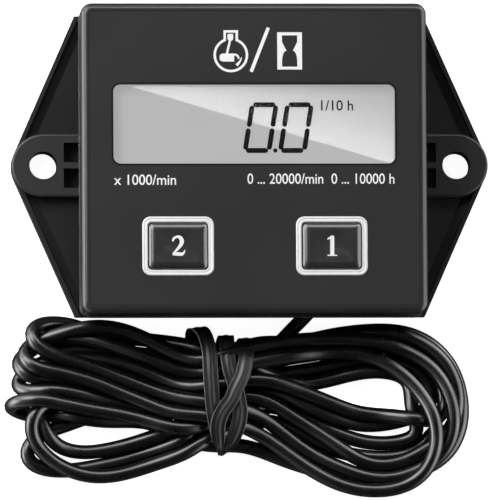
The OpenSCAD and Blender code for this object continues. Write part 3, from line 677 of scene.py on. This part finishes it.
# Each round of settling: how far the turns sink, the shares that pull them back flat and upright, how much
# of a bend is eased and evened, and how strands push each other apart along X, Y and Z. The first points
# stay held.
SINK = 0.012
PULL_FLAT = 0.1
PULL_UP = 0.02
BEND_EASE = 0.06
STIFFNESS = 0.05
PUSH_SHARE = np.array([0.7, 0.7, 1.3])
HELD_POINTS = 15
HANK_TOP = 7.0
STRAND_GAP = 0.05
# The waist inside the tie: its middle, half its width, its length, and its lowest and highest reach
WAIST_X = -4.6
WAIST_Y = -33.55
WAIST_HALF = 8.05
WAIST_LONG = 6.6
WAIST_LOW = 0.4
WAIST_TOP = 6.7


def wind_hank():
    """The lead's line before it settles: the route, then the turns to the left and right in order."""
    line = list(LEAD_ROUTE)
    for count, (name, way) in enumerate(TURN_ORDER):
        turns = TURNS_LEFT if count % 2 == 0 else TURNS_RIGHT
        line += turns[name][::way]
    return evenly(spline(line, 10), HANK_STEP)


def stiffen(line, reach):
    """Evens out how a line bends, as a springy wire does, over a reach in points."""
    end = 2 * reach
    line[end:-end] += STIFFNESS * (4 * (line[reach:-3 * reach] + line[3 * reach:-reach]) - 6 * line[end:-end]
                                   - line[:-2 * end] - line[2 * end:])


def ease(line, share):
    """Moves each point a share of the way to the middle of its neighbours."""
    line[1:-1] += share * ((line[:-2] + line[2:]) / 2 - line[1:-1])


def settle_hank(line, rounds):
    """Lets the turns come to rest: the line keeps its length and soft bends, sinks a little,
    keeps a diameter between its strands, and stays inside the tie at the waist."""
    home = line.copy()
    count = len(line)
    index = np.arange(count)
    step = np.linalg.norm(np.diff(home, axis=0), axis=1).mean()
    radius = LEAD_D / 2
    clear = LEAD_D + STRAND_GAP
    apart = int(np.ceil(0.75 * np.pi * clear / step)) + 2
    held = index < HELD_POINTS
    beside = np.abs(home[:, 0] - WAIST_X)
    loose = 1 - 0.8 * np.clip(1 - (beside - 4) / 8, 0, 1)[:, None]
    for turn in range(rounds):
        line[:, 2] -= SINK
        line[:, :2] += PULL_FLAT * loose * (home[:, :2] - line[:, :2])
        line[:, 2] += PULL_UP * (home[:, 2] - line[:, 2])
        ease(line, BEND_EASE)
        stiffen(line, 2)
        for _ in range(2):
            gap = np.diff(line, axis=0)
            far = np.linalg.norm(gap, axis=1, keepdims=True)
            pull = 0.25 * (far - step) / far * gap
            line[:-1] += pull
            line[1:] -= pull
        if turn % 4 == 0:
            close = ((line[:, None] - line[None]) ** 2).sum(2) < (1.6 * LEAD_D) ** 2
            first, second = np.nonzero(close & (index[None] - index[:, None] > apart))
        for _ in range(3):
            gap = line[second] - line[first]
            far = np.linalg.norm(gap, axis=1) + 1e-9
            push = np.maximum(clear - far, 0) / far / 2
            shift = gap * push[:, None] * PUSH_SHARE
            move = np.zeros_like(line)
            hits = np.zeros(count)
            np.add.at(move, first, -shift)
            np.add.at(move, second, shift)
            np.add.at(hits, first, push > 0)
            np.add.at(hits, second, push > 0)
            line += move / np.maximum(hits, 1)[:, None]
            inside = np.abs(line[:, 0] - WAIST_X) < WAIST_LONG / 2
            line[:, 2] = np.clip(line[:, 2], np.where(inside, WAIST_LOW + radius, radius), HANK_TOP - radius)
            reach = WAIST_HALF - radius
            line[inside, 1] = np.clip(line[inside, 1], WAIST_Y - reach, WAIST_Y + reach)
            line[inside, 2] = np.minimum(line[inside, 2], WAIST_TOP - radius)
        line[held] = home[held]
    return line


def frames_along(line):
    """Two directions across a line at each point, both square to it, that turn as little as they can."""
    along = unit(np.gradient(line, axis=0))
    side = np.empty_like(line)
    side[0] = unit(np.cross(along[0], (0, 0, 1)))
    for place in range(1, len(line)):
        side[place] = unit(side[place - 1] - along[place] * (side[place - 1] @ along[place]))
    return side, np.cross(along, side)


def tube(line, radius, sides):
    """A round tube along a line, with its uv: the run in metres, and how far round a point lies."""
    side, up = frames_along(line)
    angle = np.arange(sides) / sides * 2 * np.pi
    rings = line[:, None] + radius * (
        side[:, None] * np.cos(angle)[None, :, None] + up[:, None] * np.sin(angle)[None, :, None])
    run = np.concatenate([[0], np.cumsum(np.linalg.norm(np.diff(line, axis=0), axis=1))]) * MM
    turn = np.abs(np.arange(sides) / sides * 2 - 1)
    uv = np.stack([np.repeat(run, sides), np.tile(turn, len(line))], 1)
    return rings, uv


def make_lead():
    """The lead as one tube from the bush to its bare end in the hank."""
    line = settle_hank(wind_hank(), HANK_ROUNDS)
    line = evenly(spline(line, 4), LEAD_STEP)
    for _ in range(24):
        stiffen(line, 1)
    line[:, 2] = np.maximum(line[:, 2], LEAD_D / 2)
    rings, uv = tube(line, LEAD_D / 2, LEAD_SIDES)
    points, faces = rings_to_solid(rings)
    lead = make_piece("lead", points, faces, JACKET, uv=uv, turn_out=False)
    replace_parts(lead, "lead_tube", "lead_hank")
    return lead, line


# Tie: one strip wound three times round the waist, over the front, under the back

TIE_W = 2.15
TIE_T = 0.3
TIE_STEP = 0.3
TIE_CENTRE = np.array([WAIST_Y, (WAIST_LOW + WAIST_TOP) / 2])
TIE_HALF = np.array([WAIST_HALF, (WAIST_TOP - WAIST_LOW) / 2])
# Each place on its way: turns of the strip from the upper side, how far along the hank, and how far off it
TIE_WAY = [
    [0.72, -5.5, 0.2], [0.86, -7.2, 0.2], [0.95, -8.4, 0.5], [1.0, -8.2, 1.65], [1.04, -7.2, 1.65],
    [1.08, -6.6, 0.9], [1.14, -6.2, 0.45], [1.2, -6.1, 0.3], [1.25, -5.9, 0.25], [1.3, -5.5, 0.25],
    [1.37, -4.9, 0.25], [1.46, -4.6, 0.15], [1.54, -4.3, 0.1], [1.66, -3.6, 0.15], [1.84, -2.0, 0.15],
    [1.96, -0.9, 0.2], [2.05, -0.7, 0.25], [2.13, -0.8, 0.3], [2.21, -1.4, 0.5], [2.25, -2.8, 0.75],
    [2.28, -4.4, 0.8], [2.32, -5.1, 0.75], [2.4, -4.8, 0.65], [2.48, -4.5, 0.5], [2.55, -4.3, 0.35],
    [2.66, -4.4, 0.45], [2.84, -4.2, 0.45], [2.97, -3.8, 0.5], [3.05, -3.6, 0.7], [3.12, -3.6, 0.4],
    [3.18, -3.4, 0.25], [3.22, -2.9, 0.2], [3.25, -2.2, 0.2], [3.28, -1.8, 0.25], [3.32, -2.1, 0.3],
    [3.38, -2.9, 0.3], [3.46, -4.1, 0.3], [3.53, -4.4, 0.25],
]


def make_tie():
    """A flat strip with a wire along its middle, wound round an oval and pinched at the lowest places."""
    way = spline(TIE_WAY, 10)
    turn = way[:, 0] * 2 * np.pi
    radial = np.stack([np.cos(turn), np.sin(turn)], 1)
    oval = np.sign(radial) * np.abs(radial) ** 0.75
    line = np.column_stack([way[:, 1], TIE_CENTRE + oval * (TIE_HALF + way[:, 2:])])
    line[:, 2] = np.maximum(line[:, 2], TIE_T / 2 + 0.02)
    line = evenly(line, TIE_STEP)
    for _ in range(6):
        ease(line, 0.5)
    along = unit(np.gradient(line, axis=0))
    out = np.column_stack([np.zeros(len(line)), (line[:, 1:] - TIE_CENTRE) / TIE_HALF**1.6])
    out = unit(out - along * (out * along).sum(1, keepdims=True))
    pinch = 1 - 0.6 * np.exp(-((line[:, 1] - line[:, 1].min()) / 1.6) ** 2)
    across = np.cross(along, out) * pinch[:, None]
    place = np.linspace(-1, 1, 21)
    wire, rim = np.exp(-(place / 0.35) ** 2), np.exp(-((np.abs(place) - 0.85) / 0.14) ** 2)
    ridge = TIE_T / 2 + 0.12 * wire + 0.03 * rim
    profile = np.column_stack([
        np.concatenate([place, place[::-1]]) * TIE_W / 2,
        np.concatenate([-TIE_T / 2 * np.ones(len(place)), ridge[::-1]])])
    rings = line[:, None] + across[:, None] * profile[None, :, :1] + out[:, None] * profile[None, :, 1:]
    rings[..., 2] = np.maximum(rings[..., 2], 0.01)
    run = np.arange(len(line)) * TIE_STEP * MM
    uv = np.stack([np.repeat(run, len(profile)), np.tile(profile[:, 0], len(line))], 1)
    points, faces = rings_to_solid(rings)
    tie = make_piece("twist_tie_strip", points, faces, TIE, uv=uv)
    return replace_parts(tie, "twist_tie")


# Printed marks on the label, and the display

INK_LOW = box_of("face_label")[1][2] + 0.002
INK_HIGH = INK_LOW + 0.016
LINE = 0.36
LAYER = 0.001  # strokes that cross lie this much higher than each other
SYMBOL_SHIFT = np.array([0.05, -0.14, 0])


def mark(name, solids, finish=WHITE_INK, body="meter", shift=0.0):
    """A printed mark made of flat solids."""
    points, faces = join_solids(solids)
    return make_piece(name, points + shift, faces, finish, body, smooth=False)


def engine_symbol():
    """A round crankcase with a neck, and in it a piston, a rod, a crank and an arrow arc."""
    middle = np.array([-3.38, 15.03])
    ring_r = 2.33
    neck_half = 0.87
    neck_top = 18.45
    open_angle = np.degrees(np.arcsin(neck_half / ring_r))
    case = np.vstack([
        [[middle[0] - neck_half, neck_top], [middle[0] + neck_half, neck_top]],
        arc(middle, ring_r, 90 - open_angle, -270 + open_angle, 72),
    ])
    piston = [[-3.44, 18.1], [-3.44, 17.95], [-3.44, 17.4], [-3.44, 17.1]]
    rod = [[-3.45, 17.3], [-3.98, 15.1]]
    crank = [[-5.0, 14.66], [-4.9, 14.66], [-4.6, 14.66], [-2.9, 14.66]]
    hook = np.vstack([[[-3.2, 15.1]], arc([-2.86, 14.5], 0.6, 80, -5, 10)])
    sweep = arc([-4.05, 15.3], 2.3, -50, -15, 10)
    strokes = [
        (case, LINE), (piston, [0.66, 0.84, 0.84, 0.5]), (rod, 0.32), (crank, [0.5, 0.86, 1.16, 1.16]),
        (hook, [0.3] * 9 + [0.22, 0.16]), (sweep, np.linspace(0.44, 0.12, 10))]
    return mark("engine_symbol", [
        ribbon(path, width, INK_LOW, INK_HIGH + LAYER * count, closed=count == 0)
        for count, (path, width) in enumerate(strokes)], shift=SYMBOL_SHIFT)


def slash():
    """A slanting stroke between the two symbols."""
    stroke = ribbon([[2.06, 19.0], [-0.46, 12.6]], 0.5, INK_LOW, INK_HIGH)
    return mark("slash_mark", [stroke], shift=SYMBOL_SHIFT)


def hourglass_symbol():
    """A white upright block whose opening is an hourglass, narrow at its waist."""
    middle_x = 5.12
    top, bottom = 18.33, 12.92
    half = 1.79
    inner_top, inner_bottom = 17.88, 13.33
    straight_to, waist_y, swell_y = 16.93, 15.64, 14.0
    wide, waist = 1.1, 0.45
    swell = np.linspace(0, np.pi / 2, 12)
    right = np.vstack([
        [[wide, inner_top], [wide, straight_to], [waist, waist_y]],
        np.column_stack([waist + (wide - waist) * np.sin(swell) ** 0.9,
                         waist_y - (waist_y - swell_y) * (1 - np.cos(swell))])[1:],
        [[wide, inner_bottom]],
    ])
    beside = np.interp(right[:, 1], [inner_bottom, inner_top], [bottom, top])
    outer = np.stack([np.full(len(right), half), beside], 1)
    inside = np.vstack([right, right[::-1] * [-1, 1]]) + [middle_x, 0]
    outside = np.vstack([outer, outer[::-1] * [-1, 1]]) + [middle_x, 0]
    block = band_between(outside, inside, INK_LOW, INK_HIGH, True)
    return mark("hourglass_symbol", [block], shift=SYMBOL_SHIFT)


CAPITAL = 0.729  # height of a capital in the built-in font, as a share of its size
LETTER_HIGH = 1.55


def lettering(name, text, left, right, base, low, finish, weight):
    """Plain letters between two ends on a base line, as a thin closed solid."""
    curve = bpy.data.curves.new(name, "FONT")
    curve.body = text
    curve.extrude = 0.01
    curve.offset = weight
    holder = add_object(name, curve)
    bpy.context.view_layer.update()
    shape = bpy.data.meshes.new_from_object(holder)
    bpy.data.objects.remove(holder)
    points = np.zeros(len(shape.vertices) * 3)
    shape.vertices.foreach_get("co", points)
    points = points.reshape(-1, 3)
    faces = [list(face.vertices) for face in shape.polygons]
    start, end = points[:, 0].min(), points[:, 0].max()
    placed = np.column_stack([
        left + (points[:, 0] - start) / (end - start) * (right - left),
        base + points[:, 1] * LETTER_HIGH / CAPITAL,
        low + (points[:, 2] > 0) * (INK_HIGH - INK_LOW)])
    return make_piece(name, placed, faces, finish, smooth=False)


def rounded_stroke(start, end, width, low, high):
    """A straight stroke whose ends are half ovals."""
    tip = width * 0.55
    length = np.linalg.norm(end - start)
    near = tip * (1 - np.cos(np.linspace(0.12, np.pi / 2, 7)))
    run = np.concatenate([near, length - near[::-1]]) / length
    narrow = np.sqrt(1 - (1 - near / tip) ** 2)
    widths = width * np.concatenate([narrow, narrow[::-1]])
    return ribbon(start + (end - start) * run[:, None], widths, low, high)


def window_edge_shade():
    """A near-black ring on the label round the window's opening: painted shade for the recess's shadowed
    edge.
    """
    low, high = box_of("display_window")
    flange = 1.0
    width, height = (high - low)[:2] - 2 * flange
    inner, outer = [round_rect(width + 2 * grow, height + 2 * grow, 1 + grow) + (low + high)[:2] / 2
                    for grow in (0.01, 0.27)]
    return mark("window_edge_shade", [band_between(inner, outer, INK_LOW, INK_HIGH, True)], SEGMENT)


def display_segments():
    """Two slanted noughts and a point, as rounded segments on the display's glass."""
    low_box, high_box = box_of("lcd_digits")
    low, high = low_box[2], high_box[2]
    slant = np.tan(np.radians(9.3))
    width = 0.72
    half_h = (high_box[1] - low_box[1]) / 2 - width / 2
    half_w = 1.72
    middle_y = (low_box[1] + high_box[1]) / 2
    clear = 0.32
    solids = []
    for middle_x in (1.0, 6.1):
        strokes = [[[-half_w + clear, y], [half_w - clear, y]] for y in (half_h, -half_h)]
        strokes += [[[x, way * clear], [x, way * (half_h - clear)]]
                    for x in (-half_w, half_w) for way in (-1, 1)]
        for stroke in strokes:
            ends = np.array(stroke)
            ends[:, 0] += ends[:, 1] * slant + middle_x
            ends[:, 1] += middle_y
            grow = (ends[1] - ends[0]) / np.linalg.norm(ends[1] - ends[0]) * width * 0.28
            solids.append(rounded_stroke(ends[0] - grow, ends[1] + grow, width, low, high))
    point = [3.1, middle_y - half_h]
    solids.append(plate(arc(point, 0.31, 0, 345, 24), low, high))
    piece = mark("display_segments", solids, SEGMENT)
    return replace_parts(piece, "lcd_digits")


# Keys and their frames, in millimetres: the flange that keeps a key in, the roll of its edge, its corner and
# the depth of its dish, then a frame's width and corner

KEY_FLANGE = 0.58
KEY_EDGE = 1.15
KEY_CORNER = 0.7
DISH = 0.16
FRAME_BAND = 0.85
FRAME_CORNER = 1.25


def key_dip(x, y):
    """How far the key's top lies below its rim: a shallow dish that fades out towards the sides."""
    return DISH * np.clip(1 - (x / 3.3) ** 2, 0, 1) * np.clip(1 - (y / 2.4) ** 2, 0, 1)


def key_cap(node, body):
    """A crowned key, from nested outlines: its top dips a little, rolls over at the edge, and drops to its
    flange."""
    low, high = box_of(node)
    centre = (low + high)[:2] / 2
    size = (high - low)[:2]
    width, height = size - 2 * KEY_FLANGE
    inset = np.concatenate([
        np.linspace(3.2, KEY_EDGE, 16), KEY_EDGE * (1 - np.sin(np.linspace(0, np.pi / 2, 12)))])
    outlines = []
    for distance in inset:
        corner = max(KEY_CORNER - distance * 0.5, 0.03)
        outline = round_rect(width - 2 * distance, height - 2 * distance, corner, 6, 9)
        roll = max(KEY_EDGE - distance, 0)
        drop = 0.55 * (KEY_EDGE - np.sqrt(max(KEY_EDGE**2 - roll**2, 0)))
        outlines.append(at_height(outline + centre, high[2] - drop - key_dip(*outline.T)))
    skirt = round_rect(width, height, KEY_CORNER, 6, 9) + centre
    flange = round_rect(*size, 0.9, 6, 9) + centre
    outlines += [at_height(skirt, low[2] + 0.6), at_height(flange, low[2] + 0.58), at_height(flange, low[2])]
    points, faces = rings_to_solid(np.stack(outlines))
    cap = make_piece(node + "_cap", points, faces, KEY, body)
    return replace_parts(cap, node)


def key_frame(node):
    """A ring whose section has two rounded ridges with a groove between them."""
    low, high = box_of(node)
    size = (high - low)[:2]
    inset = np.linspace(0, FRAME_BAND, 15)
    ridge = np.abs(np.sin(inset / FRAME_BAND * 2 * np.pi)) ** 0.45
    rise = low[2] + 0.05 + (high[2] - low[2] - 0.05) * ridge
    rise[7] = low[2] + 0.12
    profile = [(0, low[2]), *zip(inset, rise), (FRAME_BAND, low[2])]
    rings = []
    for distance, z in profile:
        outline = round_rect(*(size - 2 * distance), FRAME_CORNER - distance * 0.8)
        rings.append(at_height(outline + (low + high)[:2] / 2, z))
    points, faces = rings_to_loop(np.stack(rings))
    ring = make_piece(node + "_ring", points, faces, FRAME)
    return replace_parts(ring, node)


def key_number(name, node, strokes, body):
    """A bold number with serifs on a key, from strokes of changing width."""
    low, high = box_of(node)
    centre = (low + high)[:2] / 2
    solids = []
    for count, path in enumerate(strokes):
        stroke = spline(path, 6)
        seat = high[2] - key_dip(*stroke[:, :2].T)
        solids.append(ribbon(stroke[:, :2] + centre, stroke[:, 2], seat - 0.03, seat + 0.018 + LAYER * count))
    return mark(name, solids, WHITE_INK, body)


# Each stroke's points are [x, y, width]
NUMBER_ONE = [
    [[0, 1.42, 0.5], [0, 1.0, 0.58], [0, -1.0, 0.58], [0, -1.4, 0.66]],
    [[-0.72, -1.42, 0.14], [0, -1.4, 0.2], [0.72, -1.42, 0.14]],
    [[-0.7, 0.92, 0.14], [-0.35, 1.1, 0.3], [0.05, 1.3, 0.42]],
]
NUMBER_TWO = [
    [[-0.82, 0.62, 0.2], [-0.66, 1.02, 0.34], [-0.2, 1.3, 0.34], [0.28, 1.16, 0.52], [0.5, 0.66, 0.62],
     [0.34, 0.12, 0.52], [-0.16, -0.52, 0.36], [-0.72, -1.1, 0.24]],
    [[-0.86, -1.22, 0.3], [-0.3, -1.2, 0.5], [0.3, -1.22, 0.52], [0.66, -1.22, 0.44]],
    [[0.6, -1.2, 0.4], [0.8, -0.96, 0.26], [0.94, -0.6, 0.08]],
]


# Studio: a pale floor, a white surround, a soft box from the upper left and a weaker light from the right

def make_studio():
    """Lamps, and a surround and a floor that look different to mirrors: bright to the left, paler to the
    right, with a band behind the meter."""
    world = bpy.data.worlds.new("surround")
    bpy.context.scene.world = world
    tree = Tree(world)
    rays = tree.node("ShaderNodeLightPath")
    x, y, _ = tree.parts(tree.node("ShaderNodeTexCoord").out("Generated"))
    mirrored = rays.out("Is Glossy Ray") + rays.out("Is Transmission Ray")
    band = 5.5 * y.ramp(0.5, 0.62) * (1 - y.ramp(0.76, 0.88)) + 0.5 * y.ramp(0.75, 0.9)
    left = -1 * x
    shade = 0.06 + band + 0.6 * left.ramp(0.25, 0.6) + 13.0 * left.ramp(0.8, 0.97) + 5.5 * x.ramp(0.5, 0.75)
    seen = rays.out("Is Camera Ray")
    strength = seen + (1 - seen) * (mirrored * shade + (1 - mirrored) * 0.05)
    tree.finish(tree.node("ShaderNodeBackground", None, Color=grey(1.0), Strength=strength).out("Background"))

    soft_box("key_light", (-0.3, 0.18, 0.34), 0.28, 0.28, 2.5)
    soft_box("strip_light", (0.02, 0.36, 0.4), 0.6, 0.05, 0.5)
    soft_box("rim_light", (0.5, -0.1, 0.22), 0.1, 0.3, 0.3)
    glare_card()

    tree = new_tree("pale_floor")
    rays = tree.node("ShaderNodeLightPath")
    x, _, _ = tree.parts(tree.place())
    mirrored = rays.out("Is Glossy Ray")
    seen = rays.out("Is Camera Ray") + rays.out("Is Transmission Ray")
    grain = tree.noise(3.0, 2.0)
    pale = tree.mix(grain, grey(0.86), grey(0.89))
    matt = tree.node("ShaderNodeBsdfDiffuse", None, Color=tree.mix(mirrored, pale, grey(0.2))).out("BSDF")
    beside = 2.4 * x.ramp(0.04, 0.07) + 5.0 * (-1 * x).ramp(0.04, 0.07)
    glow = tree.glow(seen * 0.95 + mirrored * beside)
    tree.finish(tree.node("ShaderNodeAddShader", None, matt, glow).out("Shader"))
    half = 3.0
    stage_sheet("floor", np.array([(-half, -half), (half, -half), (half, half), (-half, half)]),
                cad_low[2] - 0.00002, tree)


def stage_sheet(name, corners, height, tree):
    """A flat sheet of the studio, in metres, which isn't part of the meter."""
    mesh = bpy.data.meshes.new(name)
    mesh.from_pydata(at_height(corners, height).tolist(), [], [(0, 1, 2, 3)])
    mesh.materials.append(tree.owner)
    sheet = add_object(name, mesh)
    return sheet


# The glare's edge on the display's glass, and the card that it mirrors, in millimetres
GLASS_TOP = box_of("lcd_panel")[1][2]
CARD_HIGH = 500.0
CARD_WIDE = 26
CARD_OVER = 8
GLARE_FROM = (-18.7, 10.8)
GLARE_TO = (19.8, -0.7)


def card_place(x, y):
    """Where the display's glass mirrors a point of itself to the camera: a place at the card's height."""
    eye = np.array(VIEW_CENTRE + VIEW_FROM * VIEW_DISTANCE) / MM
    point = np.array([x, y])
    return point + (point - eye[:2]) / (eye[2] - GLASS_TOP) * (CARD_HIGH - GLASS_TOP)


def glare_card():
    """A lit card high above, which only mirrors see: its slanting edge crosses the display's window."""
    start, end = card_place(*GLARE_FROM), card_place(*GLARE_TO)
    along = unit(end - start)
    above = np.array([-along[1], along[0]])
    start, end = start - along * CARD_OVER, end + along * CARD_OVER
    corners = np.array([start, end, end + above * CARD_WIDE, start + above * CARD_WIDE])
    tree = new_tree("lit_card")
    x, y, _ = tree.parts(tree.place())
    height = (x - start[0] * MM) * above[0] + (y - start[1] * MM) * above[1]
    tree.finish(tree.glow(8.5 * (1 - height.ramp(-0.004, 0.0145))))
    card = stage_sheet("glare_card", corners * MM, CARD_HIGH * MM, tree)
    card.visible_camera = card.visible_diffuse = card.visible_shadow = False


def soft_box(name, place, width, height, power):
    """A rectangular lamp that faces the middle of the object."""
    lamp = bpy.data.lights.new(name, "AREA")
    lamp.shape = "RECTANGLE"
    lamp.size = width
    lamp.size_y = height
    lamp.energy = power
    light = add_object(name, lamp)
    aim = Vector(place) - VIEW_CENTRE
    light.matrix_world = Matrix.Translation(place) @ aim.to_track_quat("Z", "Y").to_matrix().to_4x4()


place_camera()
lead, lead_line = make_lead()
tie = make_tie()
(lead_line * MM).tolist()
dress_nodes()
snap_dome("switch_dome_s1")
snap_dome("switch_dome_s2")
engine_symbol()
slash()
hourglass_symbol()
lettering("rate_caption", "x 1000/min", -20.3, -11.35, -3.92, INK_LOW, WHITE_INK, 0.006)
lettering("range_caption", "0 ... 20000/min  0 ... 10000 h", -1.05, 20.2, -3.77, INK_LOW, WHITE_INK,
          0.006)
lettering("unit_mark", "1/10 h", 9.75, 14.4, 7.0, GLASS_TOP + 0.002, SEGMENT, 0.01)
window_edge_shade()
display_segments()
key_cap("key_s1", "key_1")
key_cap("key_s2", "key_2")
key_frame("key_frame_s1")
key_frame("key_frame_s2")
key_number("key_s1_number", "key_s1", NUMBER_ONE, "key_1")
key_number("key_s2_number", "key_s2", NUMBER_TWO, "key_2")
make_studio()
bpy.context.scene.view_settings.view_transform = "Standard"
